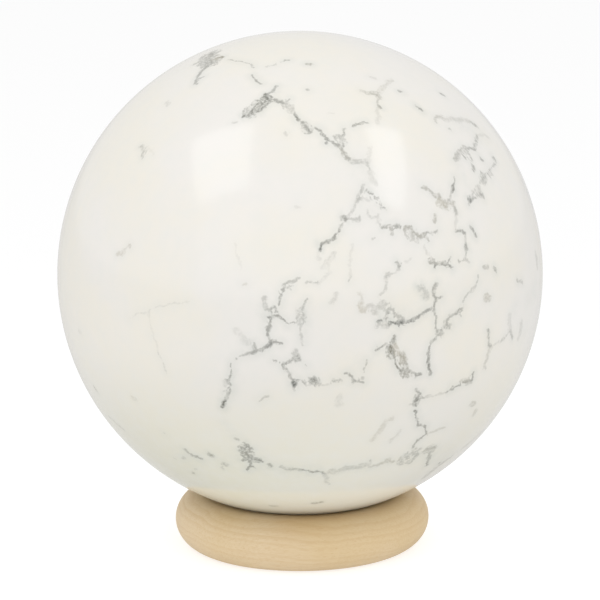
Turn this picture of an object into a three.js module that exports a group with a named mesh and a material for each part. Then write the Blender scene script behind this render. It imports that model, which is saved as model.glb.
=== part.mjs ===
// A polished stone sphere resting in a turned wooden ring stand.
// Millimetres, +Z up. The origin is the centre of the ring's sanded underside, so the stand is on z = 0.
import * as THREE from "three";

// Driving dimensions
const sphereDiameter = 100;
const ringOuterDiameter = 53;
const ringSectionDiameter = 11.3; // the ring is turned from stock with a round section
const baseSanding = 0.3; // depth sanded off below, which leaves a narrow flat to stand on
const seatClearance = 0.15; // between the sphere and the ring, so that the two solids never share a point

// Smoothness of the faceted solids
const sphereDetail = 15; // 16 divisions of each icosahedron edge: vertices fall on all three axes
const ringTurnSteps = 80;
const ringSectionSteps = 13; // the section's arc is drawn with twice as many chords

// Sizes worked out from the driving dimensions
const sphereRadius = sphereDiameter / 2;
const sectionRadius = ringSectionDiameter / 2;
const ringMiddleRadius = ringOuterDiameter / 2 - sectionRadius;
const sectionHeight = sectionRadius - baseSanding; // the section's centre above the surface
const centreDistance = sphereRadius + sectionRadius + seatClearance;
const sphereHeight = sectionHeight + Math.sqrt(centreDistance ** 2 - ringMiddleRadius ** 2);

const paleStone = new THREE.MeshStandardMaterial({ color: 0xeeece4, roughness: 0.15, metalness: 0 });
const paleBeech = new THREE.MeshStandardMaterial({ color: 0xdcc297, roughness: 0.6, metalness: 0 });

// The ball: one solid piece, ground and polished all round.
function stoneSphere() {
  const sphere = new THREE.Mesh(new THREE.IcosahedronGeometry(sphereRadius, sphereDetail), paleStone);
  sphere.name = "stone_sphere";
  sphere.position.z = sphereHeight;
  return sphere;
}

// The ring's outline in the plane of its axis: a circle cut off straight by the sanded underside.
function ringOutline() {
  const flatEdge = Math.asin(sectionHeight / sectionRadius);
  const outline = new THREE.Path();
  outline.absarc(ringMiddleRadius, sectionHeight, sectionRadius, -flatEdge, Math.PI + flatEdge, false);
  outline.closePath();
  return outline.getPoints(ringSectionSteps);
}

// The stand: the outline turned about the vertical axis. The sphere rests on the inner shoulder of its top.
function woodenRingStand() {
  const turned = new THREE.LatheGeometry(ringOutline(), ringTurnSteps);
  turned.rotateX(Math.PI / 2); // a lathe turns about Y, and the stand's axis is Z
  const ring = new THREE.Mesh(turned, paleBeech);
  ring.name = "wooden_ring_stand";
  return ring;
}

const ornament = new THREE.Group();
ornament.add(stoneSphere(), woodenRingStand());

export default ornament;
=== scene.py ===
# A polished, grey-veined stone ball resting in a turned wooden ring, on a pale studio table.
import math
import random

import bpy
import numpy as np
from mathutils import Matrix, Vector
from mathutils.kdtree import KDTree


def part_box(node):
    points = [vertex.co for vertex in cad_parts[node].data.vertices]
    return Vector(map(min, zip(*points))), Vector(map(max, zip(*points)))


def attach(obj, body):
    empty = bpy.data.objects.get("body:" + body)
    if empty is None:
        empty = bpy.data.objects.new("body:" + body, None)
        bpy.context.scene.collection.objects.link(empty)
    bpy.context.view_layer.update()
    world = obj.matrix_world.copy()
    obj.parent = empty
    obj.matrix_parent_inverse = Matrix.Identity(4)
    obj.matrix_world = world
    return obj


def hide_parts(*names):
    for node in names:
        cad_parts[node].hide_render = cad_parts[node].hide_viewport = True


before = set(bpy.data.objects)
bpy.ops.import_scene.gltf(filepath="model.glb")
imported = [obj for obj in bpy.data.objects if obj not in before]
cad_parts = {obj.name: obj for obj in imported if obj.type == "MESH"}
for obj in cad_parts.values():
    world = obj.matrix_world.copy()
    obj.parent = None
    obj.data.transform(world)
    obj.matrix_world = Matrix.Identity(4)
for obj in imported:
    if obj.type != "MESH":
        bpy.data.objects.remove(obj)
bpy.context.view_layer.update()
scene = bpy.context.scene
scene.view_settings.view_transform = "Standard"
mm = 0.001

ballLow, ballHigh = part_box("stone_sphere")
ringLow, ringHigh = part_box("wooden_ring_stand")
ballCentre = (ballLow + ballHigh) / 2
ballRadius = (ballHigh.x - ballLow.x) / 2


# Small helpers for node trees

def put(tree, kind, inputs=None, **settings):
    node = tree.nodes.new(kind)
    for name, value in settings.items():
        setattr(node, name, value)
    for name, value in (inputs or {}).items():
        if isinstance(value, bpy.types.NodeSocket):
            tree.links.new(value, node.inputs[name])
        else:
            node.inputs[name].default_value = value
    return node


def calc(tree, operation, *values):
    return put(tree, "ShaderNodeMath", dict(enumerate(values)), operation=operation).outputs[0]


def plus(tree, first, second):
    return calc(tree, "ADD", first, second)


def minus(tree, first, second):
    return calc(tree, "SUBTRACT", first, second)


def times(tree, first, second):
    return calc(tree, "MULTIPLY", first, second)


def vectorCalc(tree, operation, *values):
    node = put(tree, "ShaderNodeVectorMath", dict(enumerate(values)), operation=operation)
    return node.outputs["Value" if operation in ("LENGTH", "DOT_PRODUCT", "DISTANCE") else "Vector"]


def scaled(tree, vector, factor):
    node = put(tree, "ShaderNodeVectorMath", {0: vector, "Scale": factor}, operation="SCALE")
    return node.outputs["Vector"]


def split(tree, vector):  # into x, y and z
    return put(tree, "ShaderNodeSeparateXYZ", {0: vector}).outputs


def joined(tree, x=0.0, y=0.0, z=0.0):
    return put(tree, "ShaderNodeCombineXYZ", {0: x, 1: y, 2: z}).outputs[0]


def ramp(tree, value, start, end, low=0.0, high=1.0, smooth=True):
    kind = "SMOOTHSTEP" if smooth else "LINEAR"
    inputs = {"Value": value, "From Min": start, "From Max": end, "To Min": low, "To Max": high}
    return put(tree, "ShaderNodeMapRange", inputs, interpolation_type=kind).outputs["Result"]


def noise(tree, vector, scale, detail=3.0, roughness=0.55, output="Fac"):
    inputs = {"Vector": vector, "Scale": scale, "Detail": detail, "Roughness": roughness}
    return put(tree, "ShaderNodeTexNoise", inputs).outputs[output]


def paint(red, green, blue):  # an sRGB colour, 0 to 255, as the linear one that a socket takes
    def linear(part):
        part /= 255
        return part / 12.92 if part <= 0.04045 else ((part + 0.055) / 1.055) ** 2.4
    return (linear(red), linear(green), linear(blue), 1.0)


def blendColour(tree, factor, *colours):  # from the first to the second: each a socket or an sRGB colour
    first, second = [part if isinstance(part, bpy.types.NodeSocket) else paint(*part) for part in colours]
    return put(tree, "ShaderNodeMix", {0: factor, 6: first, 7: second}, data_type="RGBA").outputs[2]


def newMaterial(name):
    material = bpy.data.materials.new(name)
    material.use_nodes = True
    tree = material.node_tree
    return material, tree, tree.nodes["Principled BSDF"]


def newShapeTree(name, values):  # a Geometry Nodes tree with a named input for each size
    tree = bpy.data.node_groups.new(name, "GeometryNodeTree")
    tree.interface.new_socket("Geometry", in_out="OUTPUT", socket_type="NodeSocketGeometry")
    kinds = {float: "NodeSocketFloat", int: "NodeSocketInt"}
    for label, value in values.items():
        socket = tree.interface.new_socket(label, in_out="INPUT", socket_type=kinds[type(value)])
        socket.default_value = value
    return tree, tree.nodes.new("NodeGroupInput").outputs


def shapeFromTree(name, tree, values, shape, material):  # ends the tree, runs it and keeps a plain mesh
    whole = put(tree, "GeometryNodeRealizeInstances", {"Geometry": shape}).outputs[0]
    dressed = put(tree, "GeometryNodeSetMaterial", {"Geometry": whole, "Material": material}).outputs[0]
    tree.links.new(dressed, tree.nodes.new("NodeGroupOutput").inputs[0])
    piece = bpy.data.objects.new(name, bpy.data.meshes.new(name))
    scene.collection.objects.link(piece)
    modifier = piece.modifiers.new(name, "NODES")
    modifier.node_group = tree
    for socket in tree.interface.items_tree:
        if socket.in_out == "INPUT":
            modifier[socket.identifier] = values[socket.name]
    evaluated = piece.evaluated_get(bpy.context.evaluated_depsgraph_get())
    mesh = bpy.data.meshes.new_from_object(evaluated)
    piece.modifiers.clear()
    piece.data = mesh
    return piece


# The veins, read off the stone as longitude and latitude in degrees. Longitude 0 is the side that faces
# the viewer, and it grows to the viewer's right. Each vein is (width in mm, tone, tint, knots): tone runs
# from 0, unseen, to 1, dark grey, and tint from 0, grey, to 1, beige.
crownVeins = [
    (1.8, 0.64, 0.2, [(-79, 69.9), (-71, 68.9), (-64, 67.5), (-58, 66.3)]),
    (1.9, 0.48, 0.1, [(-73, 66.3), (-67, 66.3), (-61, 65.3)]),
    (1.0, 0.54, 0.2, [(-72, 66), (-71, 64.3)]),
    (1.4, 0.78, 0.6, [(-61.5, 67.5), (-57.5, 69.3)]),
    (1.3, 0.64, 0.1, [(-58, 66.2), (-57.5, 64.2), (-56, 62.6)]),
    (0.9, 0.65, 0.1, [(-56, 62.6), (-54.2, 60.8), (-53, 59.8), (-50, 58.4)]),
    (0.6, 0.40, 0.1, [(-49, 69), (-42, 68.7), (-36, 68.4), (-31.5, 68.3), (-26, 66.7)]),
    (0.5, 0.22, 0.0, [(-18.8, 67.1), (-13, 67.9), (-13.7, 69)]),
    (0.8, 0.42, 0.2, [(-9.7, 69.8), (-8.5, 70.6), (-5.6, 70.6)]),
    (0.6, 0.60, 0.1, [(-23.8, 63.7), (-20.3, 62.1), (-16.4, 60.5)]),
    (0.6, 0.75, 0.1, [(-19.8, 49.7), (-16.9, 52.2), (-15.1, 54.6), (-13.4, 56.5), (-12.4, 57)]),
    (0.6, 0.75, 0.1, [(-19.8, 49.7), (-16.7, 50.3), (-13.8, 51.5), (-12.1, 53.4), (-11, 55)]),
    (1.3, 0.85, 0.1, [(-13.4, 56.8), (-12.7, 55.8), (-11.5, 55.2)]),
    (1.0, 0.44, 0.0, [(-12.4, 57), (-10.6, 58.2), (-9.8, 59.8)]),
    (0.9, 0.65, 0.1, [(-11, 55), (-9.4, 55.3), (-7.8, 54.6), (-6, 54.3), (-3.8, 53.7)]),
    (0.7, 0.65, 0.1, [(-3.8, 53.7), (-2.4, 52.6), (-1.7, 51), (-0.5, 49.2)]),
    (1.0, 0.75, 0.1, [(-1.2, 50.2), (-0.5, 49.1)]),
    (1.6, 0.28, 0.1, [(-5.5, 54), (-3, 52.8), (-2.5, 51.7)]),
    (1.0, 0.65, 0.1, [(0.7, 48.6), (2.2, 47.9), (2.9, 46.8), (3.3, 45.8)]),
    (0.8, 0.55, 0.1, [(1.6, 47.7), (2.6, 46.9)]),
    (1.0, 0.20, 0.0, [(-4.2, 45.6), (-3.8, 45)]),
    (1.0, 0.22, 0.3, [(-22.2, 47.9), (-21.1, 48.3)]),
    (1.1, 0.60, 0.5, [(5.4, 68.7), (7.2, 68.4)]),
    (0.9, 0.36, 0.2, [(3.7, 58.7), (4.3, 58.5)]),
    (0.7, 0.09, 0.2, [(10.6, 50.9), (12.3, 50.8)]),
    (0.8, 0.62, 0.1, [(5.5, 46.8), (7.1, 45.8), (8.2, 44.2), (8.9, 43.5), (10.4, 42.8), (12, 41.7)]),
    (1.1, 0.52, 0.3, [(12, 41.7), (12.7, 40.1), (13.5, 38.8), (14.4, 38)]),
    (0.7, 0.70, 0.0, [(8.9, 43.5), (8.1, 42.6)]),
    (0.7, 0.45, 0.1, [(14.6, 46.3), (14.2, 44.9), (13.4, 44), (13.2, 42.8), (13.2, 41.7)]),
    (0.9, 0.40, 0.1, [(13.4, 44), (11.6, 44.2)]),
    (0.7, 0.50, 0.1, [(12, 41.8), (13.4, 41.5)]),
    (0.8, 0.50, 0.2, [(17.7, 46.9), (20.3, 47.5), (23.2, 47.5)]),
    (1.1, 0.32, 0.4, [(26.8, 57.2), (29.4, 56), (31.5, 55.9)]),
    (2.0, 0.42, 0.4, [(31.8, 56.1), (33, 55.7), (32.8, 54.8)]),
    (1.3, 0.20, 0.6, [(34.5, 56.3), (37.8, 57.6), (42, 58.8), (46.5, 59.4)]),
    (0.7, 0.30, 0.2, [(32.6, 54.6), (31.3, 53.4), (30.2, 52.4)]),
    (0.8, 0.60, 0.2, [(30.2, 52.4), (30.7, 51.2)]),
    (1.2, 0.14, 0.3, [(29.3, 51.2), (28.3, 49.5), (26.8, 47.3)]),
    (0.9, 0.20, 0.4, [(36.2, 61.9), (37.5, 61.2), (38.7, 60.6)]),
    (0.7, 0.60, 0.1, [(44.1, 55.7), (45.4, 55.4)]),
    (0.8, 0.75, 0.1, [(46.3, 50.5), (46.8, 49.8), (47.4, 48.9)]),
    (1.3, 0.50, 0.1, [(67, 52.2), (67.6, 51.6)]),
    (0.9, 0.35, 0.2, [(50, 45.4), (50.3, 46.2), (51.6, 46.6)]),
    (1.4, 0.32, 0.4, [(51.6, 46.4), (53.4, 46.5), (55, 46.1)]),
    (0.9, 0.28, 0.1, [(53.5, 42.9), (54.3, 42.5)]),
    (1.4, 0.16, 0.2, [(-56, 51.2), (-54, 51)]),
]
shoulderVeins = [
    (1.5, 0.22, 0.3, [(55, 45.2), (61.4, 44.2), (65.6, 43.8), (68.6, 43.1)]),
    (1.2, 0.48, 0.2, [(68.2, 43.2), (70.6, 41.5)]),
    (1.1, 0.42, 0.1, [(66.1, 39.1), (63.6, 38.2), (61.6, 37.5), (59.4, 36.2)]),
    (0.8, 0.55, 0.1, [(59.8, 36), (58.2, 36.6), (55.8, 37)]),
    (1.2, 0.15, 0.2, [(66.4, 39.2), (71, 38.8), (73.5, 37.2)]),
    (1.5, 0.38, 0.2, [(48.7, 35.3), (50.5, 36.2), (52.6, 36.9), (55, 37.6)]),
    (0.9, 0.55, 0.1, [(52.9, 35.7), (53, 34.9)]),
    (0.9, 0.40, 0.1, [(55.3, 35.8), (55.2, 34.2)]),
    (1.3, 0.55, 0.1, [(54.4, 32.7), (53.7, 31.7)]),
    (0.8, 0.55, 0.1, [(59.7, 34.1), (60.4, 33.2)]),
    (1.3, 0.62, 0.1, [(67.1, 33), (67.5, 32.1)]),
    (0.8, 0.45, 0.1, [(67.5, 32.1), (64.2, 31.2), (61.6, 30.6), (59.6, 30.3), (57.8, 29.9)]),
    (1.3, 0.55, 0.1, [(57.4, 29.8), (56.4, 29.4), (55.4, 28.7)]),
    (0.8, 0.25, 0.1, [(60, 29.9), (61.5, 29.2)]),
    (1.1, 0.30, 0.1, [(55.4, 28.7), (54, 28.4), (52.4, 27.8), (50.6, 26.9), (48.8, 26)]),
    (0.9, 0.45, 0.1, [(52.8, 24.9), (52.6, 25.7), (51.2, 25.7), (49.2, 25.6), (47.5, 25.5), (46.5, 24.5)]),
    (1.2, 0.80, 0.0, [(47.2, 25.6), (47.7, 25.1)]),
    (1.2, 0.50, 0.1, [(52.6, 26.2), (52.9, 25.3)]),
    (0.7, 0.45, 0.1, [(45, 31.1), (44.2, 30.2), (43.5, 29.6)]),
    (0.9, 0.70, 0.1, [(43.3, 29.4), (42.5, 27.9)]),
    (0.8, 0.38, 0.1, [(42.3, 27.9), (41.1, 27), (40.6, 25.8), (41.2, 24.6)]),
    (1.1, 0.42, 0.1, [(41.5, 24.1), (41.7, 22.5)]),
    (1.1, 0.14, 0.2, [(41.4, 22.3), (40.8, 21.2), (40.1, 20)]),
    (1.0, 0.42, 0.4, [(33.4, 30), (35.8, 28.5), (37.1, 27)]),
    (1.8, 0.48, 0.8, [(37.3, 26.8), (37.8, 25.7), (39, 25)]),
    (1.2, 0.36, 0.5, [(38, 26), (39.6, 25.7), (41.6, 25.3)]),
    (0.6, 0.50, 0.3, [(38.2, 27.7), (37.9, 26.3)]),
    (1.4, 0.30, 0.1, [(14.6, 37.9), (16.5, 37.7), (18.2, 37.5), (19, 37.2)]),
    (0.8, 0.30, 0.1, [(19, 37.2), (19.1, 36.2), (19.6, 35.3)]),
    (1.4, 0.15, 0.3, [(19.6, 35.3), (19.4, 34), (19.7, 32.9), (20.3, 31.9)]),
    (1.3, 0.12, 0.1, [(21.3, 40.8), (20.3, 39), (19.5, 37.7)]),
    (0.9, 0.30, 0.1, [(16.8, 31.9), (16.2, 30.7)]),
    (1.1, 0.38, 0.1, [(16.2, 30.7), (15.3, 29.4), (14.6, 28.1)]),
    (0.9, 0.25, 0.1, [(14.6, 28.1), (13.6, 26.7), (12.7, 25.5), (11.5, 24.4)]),
    (0.9, 0.16, 0.1, [(15.7, 29), (17.5, 28.2)]),
    (0.8, 0.50, 0.1, [(18, 30.1), (18.8, 29.5), (19.6, 28.3), (19.8, 27.4)]),
    (0.7, 0.38, 0.1, [(20.2, 28.8), (20.4, 27.9), (20.7, 27.1)]),
    (0.8, 0.45, 0.0, [(21.1, 26.2), (21.5, 26)]),
    (0.8, 0.32, 0.1, [(11.6, 24.2), (13.1, 24), (14.4, 24), (14.7, 24.6)]),
    (1.3, 0.70, 0.1, [(10.6, 24.7), (11, 24.2), (11.6, 24.2)]),
    (0.7, 0.35, 0.1, [(10.9, 24.2), (10.1, 23), (9.5, 21.8)]),
    (0.8, 0.62, 0.1, [(9.5, 21.8), (8.4, 20.6), (7.7, 19.7), (6.3, 19.3), (4.9, 18.8)]),
    (0.9, 0.90, 0.0, [(4.8, 18.8), (4.6, 17.4)]),
    (1.0, 0.14, 0.1, [(4.4, 17), (4.3, 15.6)]),
    (1.1, 0.17, 0.1, [(5, 13.8), (5.9, 14.9), (7.8, 16.8)]),
    (0.9, 0.10, 0.1, [(5.8, 13.6), (7.8, 15.9)]),
    (0.8, 0.10, 0.1, [(11.2, 12), (11.4, 14.5), (11.8, 17), (12.3, 18.4)]),
    (0.9, 0.20, 0.1, [(17, 25.7), (17.2, 24.7), (18.8, 24.4), (19.9, 24.7)]),
    (1.0, 0.16, 0.1, [(19.3, 24.4), (19.2, 22.8)]),
    (0.7, 0.25, 0.2, [(16.9, 19.4), (17.8, 19.6)]),
    (0.8, 0.14, 0.4, [(-0.8, 27.3), (0.2, 27.3)]),
]
middleVeins = [
    (0.8, 0.55, 0.2, [(20, 21.7), (21, 22), (22.4, 22.1), (23.6, 22.2)]),
    (0.9, 0.60, 0.1, [(23.6, 22.2), (24.3, 21.7)]),
    (1.1, 0.42, 0.3, [(21.9, 21.6), (22.5, 20.3)]),
    (0.9, 0.58, 0.4, [(25.2, 20.9), (27.4, 21.2), (27.9, 20.3), (29, 19), (30.3, 18.9), (31, 19.5)]),
    (0.8, 0.40, 0.1, [(31, 19.5), (32.4, 19.5), (34.4, 19.9)]),
    (0.8, 0.35, 0.3, [(27.4, 19.9), (27.8, 18)]),
    (0.8, 0.30, 0.3, [(25.6, 20.3), (26.6, 18.4)]),
    (0.8, 0.25, 0.3, [(29, 19), (28.7, 17.8)]),
    (1.1, 0.38, 0.5, [(34.9, 23.1), (34.4, 21.9)]),
    (0.7, 0.18, 0.4, [(30.2, 16.8), (30.5, 15), (32, 13.8)]),
    (0.9, 0.60, 0.1, [(40.2, 19.2), (41.7, 18.8), (42.6, 18)]),
    (0.8, 0.25, 0.1, [(42.6, 18), (42.4, 16.7), (42.3, 15.8)]),
    (0.9, 0.65, 0.1, [(42.3, 15.7), (42.2, 14.2)]),
    (0.8, 0.32, 0.1, [(42.2, 14.2), (41.6, 12.4), (42.3, 11.5)]),
    (0.5, 0.30, 0.1, [(41.6, 12.2), (40.2, 12.2)]),
    (0.8, 0.38, 0.1, [(39, 12.6), (39.2, 12)]),
    (0.9, 0.65, 0.1, [(45.1, 19.3), (45.4, 18.2), (46, 17)]),
    (0.8, 0.55, 0.2, [(31, 13), (31.9, 12.9), (33, 12.7)]),
    (0.6, 0.38, 0.2, [(31.6, 13.9), (33.1, 13), (35, 12.8)]),
    (0.8, 0.65, 0.1, [(32.2, 11.9), (33.3, 12.5), (34.5, 12.3), (35.8, 12), (37.2, 11.1)]),
    (0.6, 0.50, 0.1, [(35.8, 12.1), (36.5, 12.8), (37.2, 13.5)]),
    (1.0, 0.34, 0.3, [(46.8, 9.9), (48.5, 9.7)]),
    (0.9, 0.50, 0.1, [(50.5, 9.2), (51.2, 8.1)]),
    (0.8, 0.50, 0.1, [(22.4, 13.9), (23.1, 13.1), (22.8, 12.4)]),
    (0.8, 0.25, 0.1, [(22.8, 12.4), (22.3, 11.9), (21.1, 11.4)]),
    (0.6, 0.12, 0.1, [(24.3, 13.9), (26.2, 14.3)]),
    (1.4, 0.34, 0.1, [(20.4, 11.5), (19.7, 11)]),
    (0.9, 0.24, 0.2, [(19.6, 10.2), (19.5, 8.6), (18.6, 7.3), (18, 6.8)]),
    (0.9, 0.26, 0.1, [(18.5, 5.8), (20, 4.9)]),
    (0.7, 0.28, 0.1, [(11.4, 11.4), (11, 10.4)]),
    (0.7, 0.32, 0.1, [(1.3, 10.5), (3, 10.3), (4.2, 10.3)]),
    (0.7, 0.12, 0.1, [(4.2, 10.3), (5.2, 11.1), (7, 12.6)]),
    (1.3, 0.18, 0.2, [(6.8, 5.9), (7.5, 6.5), (8, 7.8)]),
    (0.8, 0.38, 0.1, [(1.4, 6.8), (0.9, 5.6), (0.5, 4.9), (0.3, 4.1), (0.9, 3.4), (0.4, 2.6), (0.9, 1.5)]),
    (0.8, 0.50, 0.1, [(0.4, 4.4), (0.8, 3.5)]),
    (0.7, 0.30, 0.1, [(-0.2, 4.7), (-0.3, 3.7), (-0.7, 2.4), (0.3, 2.3)]),
    (0.6, 0.24, 0.1, [(0.4, 1.2), (0.1, -0.6), (0.3, -2), (0.6, -3.7)]),
    (0.8, 0.32, 0.1, [(-0.5, 11.4), (-0.2, 11.6)]),
    (1.0, 0.38, 0.1, [(-1.3, 10.7), (-2.9, 10.5)]),
    (0.6, 0.55, 0.1, [(-2.9, 10.5), (-3.7, 9.6), (-3.5, 8.7), (-4.6, 7.4), (-4.4, 6.4), (-4.7, 5.4)]),
    (1.5, 0.30, 0.1, [(-7.8, 7.2), (-7.7, 6), (-7.4, 4.8)]),
    (0.9, 0.45, 0.1, [(-7.7, 4.8), (-7, 4.5), (-6.3, 4.6), (-5.7, 4.9)]),
    (1.0, 0.55, 0.0, [(-5.8, 5.1), (-5.4, 4.4)]),
    (0.7, 0.60, 0.1, [(-6.8, 2.6), (-5.9, 3.1), (-4.8, 3.2), (-4, 2.5), (-3, 1.5), (-2.7, 1.25)]),
    (0.6, 0.40, 0.1, [(-2.7, 1.25), (-1.9, 1.6), (-1.2, 1.5), (-0.2, 1.2), (0.9, 1.5)]),
    (0.9, 0.80, 0.0, [(-7.1, 2.7), (-6.5, 2.5)]),
    (0.7, 0.55, 0.1, [(-6.8, 2.5), (-6.5, 1.7), (-7, 0.6), (-7.2, -0.5), (-6.9, -1.7), (-6.3, -2.7)]),
    (0.6, 0.40, 0.1, [(-6.5, 1.2), (-7.3, 0.9), (-7.9, 0.4), (-7.1, 0), (-6.4, 0.5)]),
    (0.6, 0.70, 0.0, [(17.4, 1.4), (18.7, 1.1), (19.9, 0.9)]),
    (0.9, 0.85, 0.0, [(19.9, 0.9), (21, 0.6), (22.1, 0.5)]),
    (0.9, 0.85, 0.0, [(21.6, 0.5), (23, 0.4)]),
    (0.8, 0.60, 0.0, [(23, 0.3), (24.2, 0.2), (25.4, 0.5), (26.1, 1), (27.3, 1.4)]),
    (0.9, 0.75, 0.0, [(25.4, 0.5), (26.2, 1)]),
    (0.8, 0.60, 0.0, [(27.3, 1.4), (28.5, 1.9), (29.5, 2.5), (30.4, 2.6), (31.6, 2.3)]),
    (0.6, 0.60, 0.0, [(21.8, 0.2), (22.5, -0.5)]),
    (1.1, 0.36, 0.1, [(19.9, 3.8), (21.3, 2.9), (22.4, 1.7), (23, 0.9)]),
    (0.6, 0.60, 0.1, [(20, 2.9), (20.4, 3.1), (20.9, 3.7)]),
    (0.8, 0.30, 0.1, [(19.1, 3.9), (19.3, 3), (19, 2)]),
    (1.3, 0.26, 0.3, [(14.9, 4.6), (16.7, 4.3), (18.7, 4.1)]),
    (1.2, 0.25, 0.3, [(15.9, 4.1), (16.3, 3.3), (16.8, 2.8)]),
    (1.7, 0.32, 1.0, [(13.4, 4.9), (14.3, 4), (13.6, 4)]),
    (0.8, 0.20, 0.8, [(12.8, 7.7), (13.8, 7.1), (14.1, 5.6)]),
    (1.2, 0.28, 0.1, [(17.2, 0), (18.3, 0.2), (19.8, -0.3)]),
    (1.9, 0.24, 0.1, [(28, 7.6), (29.2, 6.6), (29.4, 5.4)]),
    (0.9, 0.50, 0.1, [(32.3, 8.2), (31.5, 7.1), (30.9, 6.3), (31.4, 5.5), (32, 5)]),
    (0.8, 0.50, 0.1, [(32, 5), (31.7, 3.9), (31.3, 2.8), (31.3, 1.3)]),
    (0.7, 0.45, 0.1, [(31.3, 1.3), (31.7, -0.4), (31.9, -1.9), (32.2, -2.9)]),
    (0.8, 0.50, 0.1, [(32.2, -3.5), (31.2, -4.6), (30.3, -5.9), (30, -7.2)]),
    (0.7, 0.50, 0.1, [(31.8, 5), (33.3, 4.9)]),
    (0.6, 0.28, 0.1, [(44.8, 8.3), (44.5, 6.9), (42.6, 5.6), (41.2, 5), (40.3, 4.2)]),
    (0.9, 0.25, 0.1, [(43.6, 5.9), (42.4, 5.3)]),
    (0.6, 0.45, 0.1, [(40.4, 4.2), (39.6, 3.4), (39.5, 1.8)]),
    (0.8, 0.45, 0.1, [(39.5, 1.8), (37.8, 1), (36.8, 0.6), (35.7, 0.2)]),
    (0.7, 0.45, 0.1, [(35.6, 0.2), (34.5, -0.8), (35, -1.8), (35.9, -1.9)]),
    (0.8, 0.50, 0.1, [(34.4, -0.9), (34.2, -1.6), (35, -2.5)]),
    (0.9, 0.50, 0.1, [(32.3, -3), (33.4, -2.4), (33.5, -3.3), (32.4, -3.6)]),
    (0.6, 0.25, 0.1, [(32.8, -3.8), (35, -2.6)]),
    (1.6, 0.34, 0.7, [(47, 3.4), (47.3, 2.8), (48.2, 2.5)]),
    (1.6, 0.30, 0.6, [(46.8, 2.5), (48, 2.4)]),
    (0.9, 0.42, 0.1, [(60.1, 4.7), (60.3, 3.9), (62.8, 3.4)]),
    (2.0, 0.24, 0.2, [(74, 8), (74.5, 5)]),
    (0.5, 0.13, 0.1, [(-42.5, -0.3), (-40.3, 0.6), (-38, 1.4), (-36.3, 1.7), (-35.8, 2.6)]),
    (0.5, 0.14, 0.1, [(-34.4, 3.1), (-32, 3.6), (-30, 4.3), (-27.5, 4.6)]),
    (0.6, 0.08, 0.1, [(-27.5, 4.6), (-25.5, 5.3)]),
    (0.7, 0.08, 0.0, [(-36.1, 1.6), (-36, 0.6), (-35.8, -1.5), (-34.6, -4.8), (-34.2, -7)]),
    (0.5, 0.15, 0.1, [(-34.2, -7.4), (-33.7, -8.8), (-33.1, -9.9), (-32.6, -12)]),
    (1.0, 0.36, 0.2, [(-53.2, 38.8), (-50.9, 38.2), (-49.4, 36.3)]),
    (1.2, 0.07, 0.1, [(-49.6, 39.1), (-47, 38.6), (-45.8, 37.4)]),
    (1.5, 0.27, 0.9, [(-47.7, 13.4), (-46.4, 13.6), (-45.4, 14.2)]),
    (0.9, 0.28, 0.6, [(-45.3, 14.4), (-44.4, 15.7), (-43.4, 16.1), (-43.3, 15.2)]),
    (0.7, 0.08, 0.1, [(-15.3, 18.7), (-14.1, 15.8), (-13.5, 13.3)]),
    (0.8, 0.24, 0.8, [(-12.9, 9.8), (-12.1, 9.9)]),
    (1.7, 0.12, 0.2, [(-14.3, -0.6), (-13, -1.7), (-11.8, -3)]),
]
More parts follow.
